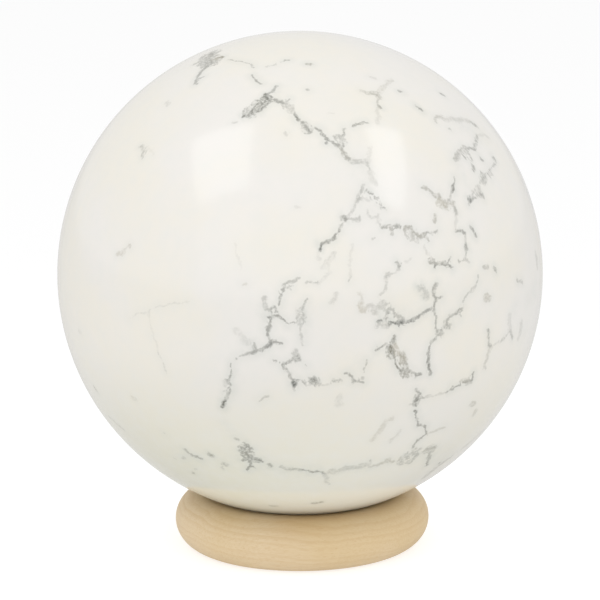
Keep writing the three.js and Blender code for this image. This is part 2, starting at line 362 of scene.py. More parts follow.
bellyVeins = [
    (0.8, 0.55, 0.1, [(-4.2, -3), (-5.3, -2.9), (-6.2, -2.9)]),
    (1.0, 0.70, 0.0, [(-6.2, -2.8), (-6.9, -3.6), (-7.7, -4.3)]),
    (0.8, 0.50, 0.1, [(-7.7, -4.2), (-8.4, -4.7), (-9.2, -4.9), (-10.1, -4.9)]),
    (1.0, 0.60, 0.1, [(-9.9, -4.9), (-10.9, -5.5)]),
    (0.7, 0.42, 0.1, [(-10.9, -5.4), (-11.6, -5.9), (-12.7, -6.1), (-13.9, -6.5), (-14.6, -7)]),
    (0.8, 0.38, 0.1, [(-10.4, -3.2), (-10, -4.6)]),
    (0.5, 0.60, 0.1, [(-15.8, -8.2), (-15.9, -9.2), (-16.1, -10.2)]),
    (0.7, 0.50, 0.1, [(-16.1, -10.3), (-16.2, -11.3), (-16.9, -12.5), (-16.1, -13.7), (-16.8, -15.2)]),
    (0.8, 0.50, 0.1, [(-16.7, -15.3), (-17.9, -15.6)]),
    (0.9, 0.18, 0.1, [(-17.6, -12.2), (-17.8, -13.8)]),
    (0.9, 0.38, 0.1, [(-17.2, -15.8), (-18, -17), (-18.2, -17.8)]),
    (0.9, 0.85, 0.1, [(-18.3, -17.7), (-18.6, -18.5), (-18.9, -19.4)]),
    (0.6, 0.42, 0.1, [(-6.3, -6.9), (-5.5, -7.2)]),
    (1.2, 0.32, 0.1, [(-1, -4.8), (-1.2, -5.8)]),
    (1.4, 0.60, 0.1, [(-1, -5.7), (-1.3, -6.6), (-0.6, -6.6)]),
    (0.8, 0.50, 0.1, [(-1.4, -6.9), (-2.9, -7.2), (-4, -7.9), (-3.7, -8.7), (-3.3, -9.4)]),
    (0.8, 0.40, 0.1, [(-3.4, -8.9), (-2.4, -10.3), (-2, -11.8)]),
    (0.5, 0.35, 0.1, [(0.9, -8.1), (1.2, -8.5)]),
    (1.1, 0.85, 0.0, [(-1.9, -12), (-1.5, -12.4), (-1.6, -13.3)]),
    (0.9, 0.68, 0.0, [(-1.5, -12.3), (-0.8, -12.1), (-0.3, -12)]),
    (0.7, 0.45, 0.1, [(-0.3, -12), (0.4, -12.2), (1, -12.8)]),
    (0.6, 0.30, 0.1, [(-1.8, -14), (-1.7, -14.4)]),
    (0.6, 0.18, 0.1, [(1, -13.4), (3.7, -13.2), (6.3, -13.1)]),
    (0.7, 0.45, 0.1, [(1.8, -11.4), (2.4, -11.1), (3.1, -11.4)]),
    (1.3, 0.80, 0.1, [(2.5, -11.7), (3.1, -12.2), (3.6, -12.8)]),
    (0.8, 0.42, 0.1, [(7.3, -12.2), (8.9, -12.1)]),
    (0.8, 0.48, 0.1,
     [(9.8, -10.6), (10.9, -10.8), (11.7, -11.4), (12.1, -12.1), (13.2, -12.7), (14.3, -13.2)]),
    (0.7, 0.40, 0.1, [(12, -12), (11.9, -12.9)]),
    (0.8, 0.34, 0.1, [(13.9, -11.8), (14.3, -11.9)]),
    (0.6, 0.36, 0.3, [(15.1, -7.7), (14.9, -8.8), (14.4, -10.2)]),
    (0.8, 0.60, 0.1, [(17, -5.5), (17.9, -5), (18.6, -4.6)]),
    (0.7, 0.35, 0.1, [(18.6, -4.6), (19.8, -4.3)]),
    (0.9, 0.70, 0.2, [(21.4, -2.6), (21.2, -3.6), (20.8, -4.8)]),
    (1.5, 0.80, 0.3, [(20.7, -5), (20.6, -6.2)]),
    (1.5, 0.34, 0.8, [(21.4, -4.6), (22, -5.8), (22.8, -6.8)]),
    (0.6, 0.70, 0.2, [(21, -7.2), (21.7, -8), (21.9, -9.4), (22.6, -10.3), (23.4, -11.2)]),
    (1.5, 0.62, 0.6, [(23.2, -6.9), (23.7, -7.9), (23.5, -8.9)]),
    (0.8, 0.45, 0.4, [(23.9, -8.9), (24.5, -10), (25, -11)]),
    (1.3, 0.50, 0.3, [(23.8, -11.1), (24.6, -11.9), (25.4, -12.4)]),
    (0.8, 0.45, 0.2, [(25.4, -10.9), (26.6, -11.7), (27.6, -12.4)]),
    (1.1, 0.60, 0.1, [(27.6, -12.7), (28.7, -12.5)]),
    (1.0, 0.60, 0.1, [(30, -7.4), (30.1, -8.7), (30.4, -9.8)]),
    (1.2, 0.70, 0.1, [(30.3, -9.4), (30.5, -10.6), (30.9, -11.7), (31.2, -12.6)]),
    (1.0, 0.45, 0.1, [(47.8, -4.8), (48.3, -6.5), (49, -8.3), (49.8, -9.1)]),
    (0.9, 0.45, 0.1, [(49.8, -9.1), (49.4, -9.8)]),
    (1.3, 0.24, 0.3, [(49.3, -9.9), (48.9, -11.3), (48.5, -13.2), (49.2, -14.2)]),
    (0.8, 0.17, 0.2, [(50.2, -9), (52.5, -8.6), (54, -8.4)]),
    (1.0, 0.36, 0.2, [(54, -8.4), (55.3, -7.9)]),
    (0.9, 0.32, 0.2, [(55.5, -7.7), (56.8, -7.1), (57.4, -6.6)]),
    (0.9, 0.40, 0.1, [(57.4, -6.6), (58.1, -7.6), (59.1, -8.8)]),
    (1.7, 0.15, 0.1, [(56.4, -3), (57, -5.6)]),
    (2.0, 0.16, 0.1, [(62.8, -6), (62.6, -9.6)]),
    (0.8, 0.60, 0.1, [(44.9, -14.6), (45, -15.9), (44.9, -16.6)]),
    (1.1, 0.62, 0.3, [(44.8, -16.8), (43.4, -16.8), (41.6, -16.9)]),
    (0.7, 0.60, 0.1, [(41.6, -17), (39.9, -17.4), (38.4, -17.6), (36.8, -18.3)]),
    (1.3, 0.24, 0.5, [(43.6, -15.8), (41.3, -16)]),
    (1.1, 0.40, 0.5, [(-64.3, -21.4), (-63.6, -22.5)]),
    (0.9, 0.25, 0.3, [(-65, -30), (-62.5, -31.3), (-59, -32.6)]),
    (0.8, 0.50, 0.2, [(-75.5, -29.3), (-74.5, -29.8)]),
    (1.2, 0.12, 0.2, [(-63.8, -7.2), (-62.5, -7.4)]),
    (1.3, 0.16, 0.8, [(-45.8, -20.6), (-44.9, -20.8)]),
    (0.6, 0.20, 0.1, [(-39, -29.5), (-38.6, -29.6)]),
    (0.6, 0.20, 0.1, [(-40.7, -38), (-40.3, -38.4)]),
    (0.7, 0.28, 0.3, [(-9.7, -17.3), (-8.9, -16.3), (-7.8, -15.9)]),
    (0.6, 0.60, 0.1, [(-15, -29.2), (-14.6, -30.4), (-15.1, -31.4), (-14.9, -32.6)]),
    (1.3, 0.65, 0.2, [(-15.2, -32.4), (-14.9, -33.6)]),
    (0.9, 0.65, 0.1, [(-14.9, -33.6), (-14.2, -34.6), (-13.8, -35.3)]),
    (0.6, 0.55, 0.1, [(-14.6, -31), (-13.2, -31.2)]),
    (0.6, 0.50, 0.1, [(-15.2, -32), (-16.7, -31.9)]),
    (0.6, 0.50, 0.1, [(-15, -33.6), (-16.3, -34)]),
    (0.7, 0.55, 0.1, [(-14, -35.2), (-15.4, -35.1), (-17, -35.3)]),
    (0.9, 0.68, 0.1, [(-14.2, -35.1), (-12.8, -34.8), (-11.8, -34.8), (-11.1, -35.4)]),
    (0.7, 0.65, 0.1, [(-14.2, -35.4), (-14.6, -36.6), (-15.3, -37.8), (-16.3, -39.1)]),
    (0.6, 0.45, 0.1, [(-15, -37.2), (-13.8, -37.9)]),
    (1.1, 0.45, 0.2, [(-9.1, -36.3), (-8.8, -37)]),
    (1.1, 0.42, 0.2, [(-34, -33.9), (-33, -35.2)]),
    (1.1, 0.50, 0.2, [(-32.6, -35.5), (-31, -36), (-30, -36.3)]),
    (1.3, 0.30, 0.3, [(-37, -37.5), (-36.2, -37.4)]),
    (1.4, 0.50, 0.3, [(-26.3, -34.2), (-25.9, -34.6)]),
    (1.5, 0.30, 0.1, [(-23.1, -37.3), (-22.4, -37.7)]),
    (1.0, 0.22, 0.1, [(-24.2, -38.9), (-24, -39.3)]),
    (1.1, 0.36, 0.3, [(-37.4, -43.3), (-36.6, -43)]),
    (0.8, 0.20, 0.1, [(-35.2, -41.4), (-34.2, -40.9)]),
    (0.7, 0.32, 0.1, [(-17.2, -28.2), (-16.2, -28.4)]),
    (1.3, 0.30, 0.4, [(-13.5, -57.3), (-11.5, -57.5)]),
    (1.2, 0.34, 0.2, [(-5.7, -37.3), (-4.2, -37.9), (-2.5, -38.1), (-0.5, -38.3)]),
    (0.8, 0.48, 0.2, [(-1, -38.4), (1, -38.4), (3, -39.2), (4.6, -38.7), (6.6, -39.6)]),
    (0.9, 0.55, 0.1, [(6.3, -39.3), (6.6, -40.1)]),
    (2.0, 0.22, 0.5, [(8, -39.5), (11, -39), (14, -38.2), (18, -37.9), (20, -38.2)]),
    (1.1, 0.32, 0.7, [(19.5, -38.3), (23, -38), (27.5, -37.8)]),
    (1.2, 0.20, 0.1, [(6.5, -40), (8.5, -44.5)]),
    (0.9, 0.32, 0.2, [(19.8, -36.3), (19.8, -37.6)]),
    (1.2, 0.40, 0.8, [(25.1, -36.7), (25.9, -36.9)]),
    (1.4, 0.20, 0.8, [(23, -23.4), (21.3, -24), (20.4, -26.2), (18.6, -29.3)]),
    (1.2, 0.17, 0.6, [(26, -27.5), (24, -30.5)]),
    (2.2, 0.12, 0.2, [(9, -16.2), (9, -18.2)]),
    (1.5, 0.46, 0.3, [(4.6, -54.9), (7.6, -54.4)]),
    (0.7, 0.45, 0.1, [(28, -16.3), (28.8, -17.5), (28.9, -18.4)]),
    (1.2, 0.70, 0.1, [(28.8, -18.4), (28.5, -19.4)]),
    (0.8, 0.60, 0.1, [(29.3, -17.3), (29, -18.6), (28.6, -20.5)]),
    (0.6, 0.18, 0.1, [(26.9, -20), (28.3, -20)]),
    (0.8, 0.65, 0.1, [(28.7, -21.9), (29.3, -22.9)]),
    (0.6, 0.55, 0.1, [(29.3, -22.9), (30.3, -24.4), (30.9, -25.4), (30.9, -26.6)]),
    (0.6, 0.55, 0.2, [(30.9, -26.6), (33.4, -27), (34, -28.1), (34.8, -29.6), (33.9, -30.3)]),
    (0.9, 0.55, 0.2, [(33.9, -30.4), (33, -31.1), (32.4, -32.1)]),
    (0.7, 0.50, 0.2, [(32.4, -32.1), (32.2, -33.6)]),
    (0.8, 0.40, 0.1, [(29.1, -18.7), (30, -18.7), (31.4, -18.6)]),
    (0.9, 0.18, 0.1, [(31.4, -18.6), (34, -18.7), (36.8, -18.3)]),
    (0.9, 0.22, 0.8, [(35.2, -30), (37.5, -29.3), (40.2, -28.7), (41, -28.9)]),
    (0.9, 0.36, 0.1, [(34.6, -34.9), (33.6, -35.5), (32.6, -36)]),
    (0.8, 0.30, 0.1, [(32.3, -35.8), (30.7, -36)]),
    (0.9, 0.34, 0.1, [(35, -36.9), (34.7, -38), (34.1, -39)]),
    (0.8, 0.30, 0.2, [(30.5, -38.2), (32, -39), (34.8, -39.4)]),
    (1.6, 0.40, 0.4, [(37.8, -35.3), (39.4, -35.5), (41, -35.4)]),
    (1.1, 0.38, 0.2, [(39.4, -35.6), (39.9, -36.8), (41.4, -39)]),
    (1.1, 0.48, 0.1, [(41.4, -39), (42, -40.2), (43.1, -42)]),
    (1.0, 0.45, 0.1, [(50.1, -43), (50.6, -43.4)]),
    (2.0, 0.18, 0.4, [(66, -36.4), (64, -37.4), (62, -38.2), (59, -39.6)]),
    (0.9, 0.55, 0.2, [(66.5, -36.3), (65.7, -36.9)]),
    (0.9, 0.45, 0.2, [(62.5, -38.4), (61, -39.2)]),
    (2.0, 0.30, 0.4, [(54, -42.8), (52, -44), (50.6, -45.6), (50, -47.5), (50, -49.3)]),
    (1.1, 0.36, 0.2, [(55, -41.8), (53.5, -42.8)]),
    (2.0, 0.30, 0.7, [(48, -23.4), (48.8, -23.7)]),
    (1.8, 0.20, 0.6, [(50.8, -26.1), (51.3, -27.1)]),
]
# Broken-up patches, crazed like cracked glaze: (radius in mm, strength, knots of the spine)
crazedPatches = [
    (2.8, 0.60, [(-75, 68.8), (-67, 67.3), (-59, 66.3)]),
    (1.9, 0.50, [(-17.2, 51.2), (-14.8, 53.4)]),
    (1.6, 0.75, [(-14.2, 53.9), (-12.3, 55.5)]),
    (1.2, 0.35, [(-5.5, 54.2), (-3.6, 53)]),
    (1.2, 0.45, [(2.2, 47.6), (3, 46.4)]),
    (1.1, 0.35, [(12.2, 43.9), (13.2, 42.8)]),
    (1.0, 0.35, [(27, 20.3), (28.6, 19.4)]),
    (1.3, 0.34, [(37.4, 26), (39, 25.2)]),
    (1.1, 0.25, [(0.2, 4.3), (0.3, 2.4)]),
    (1.1, 0.40, [(-1.1, -5.8), (-1, -6.4)]),
    (1.0, 0.50, [(2.9, -11.8), (3.5, -12.6)]),
    (1.2, 0.75, [(20.6, -5.2), (20.5, -6.5)]),
    (1.0, 0.32, [(23.4, -7.4), (23.8, -8.7)]),
    (1.2, 0.55, [(24.2, -11.4), (25.2, -12)]),
    (0.9, 0.40, [(34.6, -1.4), (35.2, -2)]),
    (1.0, 0.40, [(32.6, -2.9), (33.2, -3.2)]),
    (1.7, 0.60, [(-15, -31.4), (-14.7, -33.4)]),
    (1.1, 0.40, [(-13.8, -35), (-12.2, -34.9)]),
    (2.0, 0.36, [(31.2, -37.5), (33.5, -35.9)]),
    (1.6, 0.36, [(38.4, -35.4), (40.2, -35.6)]),
    (1.0, 0.38, [(28.7, -18), (28.6, -19.6)]),
    (1.2, 0.40, [(55.7, 28.9), (56.9, 29.7)]),
]
# Soft grey clouds under the polish: (radius in mm, strength, knots)
clouds = [
    (4.5, 0.15, [(-13.5, -33), (-11, -37), (-6, -38.5), (4, -39)]),
    (4.0, 0.10, [(10, -39), (22, -38), (30, -37)]),
    (3.0, 0.13, [(18, 3), (21.5, 2), (23, 1.8)]),
    (2.0, 0.36, [(27.6, 8.1), (28.7, 7.4), (29.2, 6.4)]),
    (1.8, 0.16, [(29.6, 7.6), (29.3, 6.2)]),
    (2.6, 0.20, [(-12, -3.2), (-10.2, -4.2)]),
    (2.6, 0.10, [(12.7, -8.5), (13, -8.4)]),
    (3.2, 0.12, [(48.3, 35), (48.3, 33), (48.3, 31)]),
    (4.0, 0.13, [(17.5, 36), (19, 34), (19, 31)]),
    (3.0, 0.08, [(15, 29), (18, 26)]),
    (2.4, 0.12, [(-10, 57.5), (-8, 59)]),
    (2.2, 0.20, [(83, 24), (83, 20)]),
    (3.0, 0.09, [(35, -2), (37, -1)]),
    (4.0, 0.14, [(36, -36), (42, -37), (50, -41)]),
    (3.6, 0.14, [(-36, -36.5), (-31, -37)]),
    (3.4, 0.12, [(60, 43), (70, 39)]),
    (2.8, 0.14, [(-15.5, -12), (-17, -16.5)]),
    (3.0, 0.10, [(62, -7), (66, -9)]),
    (4.5, 0.09, [(-20, -35), (-27, -36)]),
    (2.4, 0.16, [(-6.6, 3.8), (-8, 3.8)]),
    (2.4, 0.12, [(1, 4), (0.6, -2)]),
    (2.8, 0.10, [(57.5, -3), (60, -1)]),
    (3.2, 0.14, [(66, -1), (71, 0)]),
    (2.6, 0.30, [(11, -38.8), (15, -38.2), (19, -38.4)]),
    (2.6, 0.09, [(-19.5, -24), (-17, -26.8)]),
]

stoneBall = {
    "bandCount": 300,  # quads along each side of the unfolded sheet
    "foldTurn": -40,  # degrees, keeps the corners of the fold off the busiest veins
    "weldDistance": 0.01 * mm,  # closes the seams of the fold
    "webLift": -0.52,  # degrees, how far the whole web sits above its listed latitudes
    "layingSeed": 7,
    "jaggedness": 0.16,  # how far a vein strays, over the length of the stretch
    "stepLength": 0.3,  # mm between the points of a finished vein
    "twigTone": 0.4,  # only darker veins than this grow twigs
    "twigRoom": 12,  # and only those with more points than this
    "twigChance": 0.03,  # for each point of such a vein
    "twigPoints": (2, 6),
    "twigLean": 0.9,  # along the vein, over the way out from it
    "twigBend": 0.7,  # the most that it turns aside at each step, as a slope
    "twigThinness": 0.6,  # a twig's width, over its vein's
    "twigPaleness": 0.7,  # and its tone
    "nearby": 6,  # vein stretches that each point of the ball chooses from
    "turnFrom": 0.42,  # mm from a vein, where the way to it starts to be turned outward
    "turnOver": 0.4,  # mm, and how much further off it points straight out
    "coarseStir": 0.9,  # mm, how ragged the edges of the veins are
    "fineStir": 0.45,
    "thinnest": 0.2,  # half the width of a vein where it thins, over its listed width
    "thickest": 0.64,
    "hazeReach": 2.2,  # mm from a vein
    "hazeStrength": 0.4,
    "coolWhite": (222, 219, 214),  # the colours are sRGB, 0 to 255
    "warmWhite": (223, 219, 209),
    # painted shade for the lower half: darker and yellower, standing in for warm light from below
    "bellyShadeWhite": (213, 211, 195),
    "dullWhite": (217, 217, 212),
    "haze": (184, 189, 184),
    "greyVein": (88, 90, 84),
    "beigeVein": (146, 134, 104),
    "roughness": 0.14,
    "veinRoughness": 0.34,
    "refraction": 1.59,
}

# The web of the far side, which is made up: wandering veins of the same kinds, fewer and plainer
farWeb = {
    "seed": 41,
    "starts": 30,
    "facing": (0.0, -0.95, 0.31),  # the way from the ball to the viewer
    "sightLimit": -0.02,  # a vein stops where it leans further than this towards the viewer
    "spread": 88,  # degrees of longitude, to each side of the back
    "heights": (-0.93, 0.97),  # over the ball's radius
    "tones": (0.15, 0.3, 0.45, 0.6, 0.7),
    "tints": (0.1, 0.1, 0.2, 0.5),
    "widths": (0.5, 0.95),  # mm
    "steps": (2, 9),
    "stepDegrees": (1.6, 3.6),
    "headings": (0, 6.3),  # radians, so any way at all
    "wander": 0.75,  # radians, the most that a vein turns at a step
    "branchChance": 0.3,
    "branchDepth": 2,
    "branchAngles": (0.6, 1.5),  # radians
    "branchSteps": (1, 4),
    "branchWidth": 0.8,  # over the width of the vein it leaves
    "branchTones": (0.5, 0.9),  # and over its tone
    "patchTone": 0.5,  # darker veins than this start in a broken-up patch
    "patchRadii": (1.1, 1.9),  # mm
    "patchStrengths": (0.4, 0.8),
}


def onBall(longitude, latitude):  # a unit vector
    lon, lat = math.radians(longitude), math.radians(latitude + stoneBall["webLift"])
    return np.array([math.sin(lon) * math.cos(lat), -math.cos(lon) * math.cos(lat), math.sin(lat)])


def unit(vector):
    return vector / np.linalg.norm(vector)


def jaggedRoute(knots, rng, values):  # splits each stretch in halves, pushing each middle aside
    radius, step, stray = ballRadius / mm, values["stepLength"], values["jaggedness"]
    route = [onBall(*knot) * radius for knot in knots]
    while max(np.linalg.norm(b - a) for a, b in zip(route, route[1:])) >= 2 * step:
        finer = [route[0]]
        for a, b in zip(route, route[1:]):
            length = np.linalg.norm(b - a)
            if length > step:
                middle = (a + b) / 2
                aside = unit(np.cross(middle, b - a))
                finer.append(unit(middle + aside * length * rng.uniform(-stray, stray)) * radius)
            finer.append(b)
        route = finer
    return np.array(route)


def headingStep(place, heading, degrees):  # one step over the ball; each also sinks by the web's lift
    start, longitude, angle = onBall(*place), math.radians(place[0]), math.radians(degrees)
    east = np.array([math.cos(longitude), math.sin(longitude), 0.0])
    north = np.cross(start, east)
    way = east * math.sin(heading) + north * math.cos(heading)
    end = start * math.cos(angle) + way * math.sin(angle)
    return math.degrees(math.atan2(end[0], -end[1])), math.degrees(math.asin(np.clip(end[2], -1, 1)))


def farVeins(values):
    rng = random.Random(values["seed"])
    veins, patches = [], []

    def inSight(place):
        return onBall(*place) @ np.array(values["facing"]) > values["sightLimit"]

    def wander(place, heading, steps, width, tone, depth):
        knots = [place]
        for step in range(steps):
            heading += rng.uniform(-values["wander"], values["wander"])
            place = headingStep(place, heading, rng.uniform(*values["stepDegrees"]))
            if inSight(place):
                break
            knots.append(place)
            if depth and rng.random() < values["branchChance"]:
                side = heading + rng.choice((-1, 1)) * rng.uniform(*values["branchAngles"])
                wander(place, side, rng.randint(*values["branchSteps"]), width * values["branchWidth"],
                       tone * rng.uniform(*values["branchTones"]), depth - 1)
        if len(knots) > 1:
            veins.append((width, tone, rng.choice(values["tints"]), knots))

    for start in range(values["starts"]):
        longitude = 180 + rng.uniform(-values["spread"], values["spread"])
        place = (longitude, math.degrees(math.asin(rng.uniform(*values["heights"]))))
        if inSight(place):
            continue
        tone = rng.choice(values["tones"])
        wander(place, rng.uniform(*values["headings"]), rng.randint(*values["steps"]),
               rng.uniform(*values["widths"]), tone, values["branchDepth"])
        if tone > values["patchTone"]:
            radius, strength = rng.uniform(*values["patchRadii"]), rng.uniform(*values["patchStrengths"])
            patches.append((radius, strength, veins[-1][3][:2]))
    return veins, patches


def twigs(route, rng, values):  # short offshoots
    found, radius, lean, bend = [], ballRadius / mm, values["twigLean"], values["twigBend"]
    for before, here, after in zip(route, route[1:], route[2:]):
        if rng.random() < values["twigChance"]:
            along = unit(after - before)
            out = unit(np.cross(here, along))
            way = unit(out * rng.choice((-1, 1)) + along * rng.uniform(-lean, lean))
            points = [here]
            for step in range(rng.randint(*values["twigPoints"])):
                turned = unit(way + np.cross(here / radius, way) * rng.uniform(-bend, bend))
                points.append(unit(points[-1] + turned * values["stepLength"]) * radius)
            found.append(points)
    return found


def layVeins(values):  # all stretches as starts, ends, widths, tones and tints, and then all patches
    rng = random.Random(values["layingSeed"])
    moreVeins, morePatches = farVeins(farWeb)
    stretches = []

    def lay(route, width, tone, tint):
        for start, end in zip(route, route[1:]):
            stretches.append((start, end, width, tone, tint))

    for width, tone, tint, knots in crownVeins + shoulderVeins + middleVeins + bellyVeins + moreVeins:
        route = jaggedRoute(knots, rng, values)
        lay(route, width, tone, tint)
        if tone > values["twigTone"] and len(route) > values["twigRoom"]:
            for twig in twigs(route, rng, values):
                lay(twig, width * values["twigThinness"], tone * values["twigPaleness"], tint)
    return [np.array(part) for part in zip(*stretches)], crazedPatches + morePatches


def nearestVein(points, stretches, values):  # for each point: the way to the nearest vein, and its values
    starts, ends, widths, tones, tints = stretches
    tree = KDTree(len(starts))
    for index, middle in enumerate((starts + ends) / 2):
        tree.insert(middle, index)
    tree.balance()
    chosen = np.zeros(len(points), int)
    for index, point in enumerate(points):
        found = tree.find_n(point, values["nearby"])
        chosen[index] = min(found, key=lambda spot: spot[2] - widths[spot[1]] * 0.5)[1]
    a, b = starts[chosen], ends[chosen]
    share = ((points - a) * (b - a)).sum(1) / np.maximum(((b - a) ** 2).sum(1), 1e-9)
    way = a + (b - a) * np.clip(share, 0, 1)[:, None] - points
    # Further off, the way is turned outward with its length kept, so that it can't vanish between two veins
    distance = np.linalg.norm(way, axis=1)[:, None]
    outward = points / np.linalg.norm(points, axis=1)[:, None]
    turn = np.clip((distance - values["turnFrom"]) / values["turnOver"], 0, 1) * math.pi / 2
    way = way * np.cos(turn) + outward * distance * np.sin(turn)
    return way, distance, widths[chosen], tones[chosen], tints[chosen]


def softField(points, shapes):  # full on a shape's spine, falling to nothing at its radius
    field = np.zeros(len(points))
    for radius, strength, knots in shapes:
        route = [onBall(*knot) * ballRadius / mm for knot in knots]
        distance = np.full(len(points), np.inf)
        for a, b in zip(route, route[1:]):
            share = np.clip(((points - a) * (b - a)).sum(1) / ((b - a) ** 2).sum(), 0, 1)
            distance = np.minimum(distance, np.linalg.norm(points - a - (b - a) * share[:, None], axis=1))
        field = np.maximum(field, strength * np.clip(1 - distance / radius, 0, 1))
    return field


def nearestStrength(points, shapes, reach=3):  # of the shape that each point is deepest in, within 3 radii
    chosen, depth = np.zeros(len(points)), np.full(len(points), -1.0)
    for radius, strength, knots in shapes:
        field = softField(points, [(radius * reach, 1.0, knots)])
        chosen = np.where(field > depth, strength, chosen)
        depth = np.maximum(depth, field)
    return chosen


def addValues(mesh, name, values):  # one number or one vector for each point
    numbers = np.asarray(values, np.float32).ravel()
    kind, key = ("FLOAT", "value") if len(numbers) == len(mesh.vertices) else ("FLOAT_VECTOR", "vector")
    mesh.attributes.new(name, kind, "POINT").data.foreach_set(key, numbers)


def stoneMaterial(values):
    material, tree, shader = newMaterial("white_howlite")
    surface = put(tree, "ShaderNodeTexCoord").outputs
    spot, outward = scaled(tree, surface["Object"], 1 / mm), surface["Normal"]  # the spot is in mm

    def reading(name, output="Fac"):
        return put(tree, "ShaderNodeAttribute", attribute_name=name).outputs[output]

    def stirred(scale, detail, amount):
        colour = noise(tree, spot, scale, detail, 0.6, "Color")
        return scaled(tree, vectorCalc(tree, "SUBTRACT", colour, (0.5, 0.5, 0.5)), amount)

    # The way to the nearest vein, stirred so that its edges are ragged
    stir = stirred(0.5, 3, values["coarseStir"])
    stir = vectorCalc(tree, "ADD", stir, stirred(2.3, 2, values["fineStir"]))
    # Close to a vein it only stirs along the surface
    turnFrom, turnTo = values["turnFrom"], values["turnFrom"] + values["turnOver"]
    closeBy = ramp(tree, reading("veinDistance"), turnFrom, turnTo, 1, 0)
    lift = scaled(tree, outward, vectorCalc(tree, "DOT_PRODUCT", outward, stir))
    stir = vectorCalc(tree, "SUBTRACT", stir, scaled(tree, lift, closeBy))
    away = vectorCalc(tree, "LENGTH", vectorCalc(tree, "ADD", reading("veinWay", "Vector"), stir))
    patchy = noise(tree, spot, 0.75, 4, 0.65)
    gritty = noise(tree, spot, 1.7, 3, 0.65)
    thickness = ramp(tree, patchy, 0.3, 0.7, values["thinnest"], values["thickest"], False)
    inVein = calc(tree, "DIVIDE", away, times(tree, reading("veinWidth"), thickness))
    tone = reading("veinTone")
    broken = times(tree, tone, ramp(tree, gritty, 0.34, 0.6, 0.4, 1.1))
    core = calc(tree, "MINIMUM", times(tree, ramp(tree, inVein, 0.3, 1.2, 1, 0), broken), 1.0)

    # Broken-up patches: grey grit with pale crumbs left in it
    crazing = reading("crazing")
    edge = plus(tree, crazing, ramp(tree, patchy, 0.25, 0.75, -0.32, 0.32, False))
    inPatch = times(tree, ramp(tree, edge, 0.02, 0.3), ramp(tree, crazing, 0.0, 0.12))
    crumbSpot = vectorCalc(tree, "ADD", spot, (31.0, 7.0, 12.0))
    crumbs = ramp(tree, noise(tree, crumbSpot, 1.15, 2, 0.5), 0.5, 0.6)
    grit = ramp(tree, gritty, 0.36, 0.62, 0.25, 1.0)
    grit = times(tree, grit, calc(tree, "MULTIPLY_ADD", crumbs, -0.8, 1.0))
    grit = times(tree, times(tree, grit, inPatch), reading("crazingTone"))
    shade = calc(tree, "MAXIMUM", core, grit)

    # Greenish haze that the veins bleed into the white
    haze = times(tree, ramp(tree, away, 0.0, values["hazeReach"], values["hazeStrength"], 0), tone)
    cloudy = times(tree, reading("clouds"), ramp(tree, patchy, 0.3, 0.7, 0.4, 1.5))
    haze = calc(tree, "MINIMUM", plus(tree, haze, cloudy), 1.0)

    # The white itself: barely warmer and cooler drifts, and a painted shade over the lower half, darker and
    # yellower towards the bottom and the viewer's left, standing in for warm light from below
    drift = noise(tree, spot, 0.045, 3, 0.5)
    speck = noise(tree, spot, 0.35, 4, 0.6)
    x, y, z = split(tree, spot)
    paintedBellyShade = times(tree, ramp(tree, z, 54.0, 16.0), ramp(tree, x, -20.0, 25.0, 1.0, 0.4))
    white = blendColour(tree, ramp(tree, drift, 0.35, 0.65), values["coolWhite"], values["warmWhite"])
    white = blendColour(tree, paintedBellyShade, white, values["bellyShadeWhite"])
    white = blendColour(tree, ramp(tree, speck, 0.35, 0.75, 0, 0.35), white, values["dullWhite"])
    dark = blendColour(tree, reading("veinTint"), values["greyVein"], values["beigeVein"])
    colour = blendColour(tree, haze, white, values["haze"])
    colour = blendColour(tree, shade, colour, dark)
    tree.links.new(colour, shader.inputs["Base Color"])
    gloss = ramp(tree, shade, 0.1, 0.8, values["roughness"], values["veinRoughness"], False)
    tree.links.new(gloss, shader.inputs["Roughness"])
    shader.inputs["IOR"].default_value = values["refraction"]
    return material


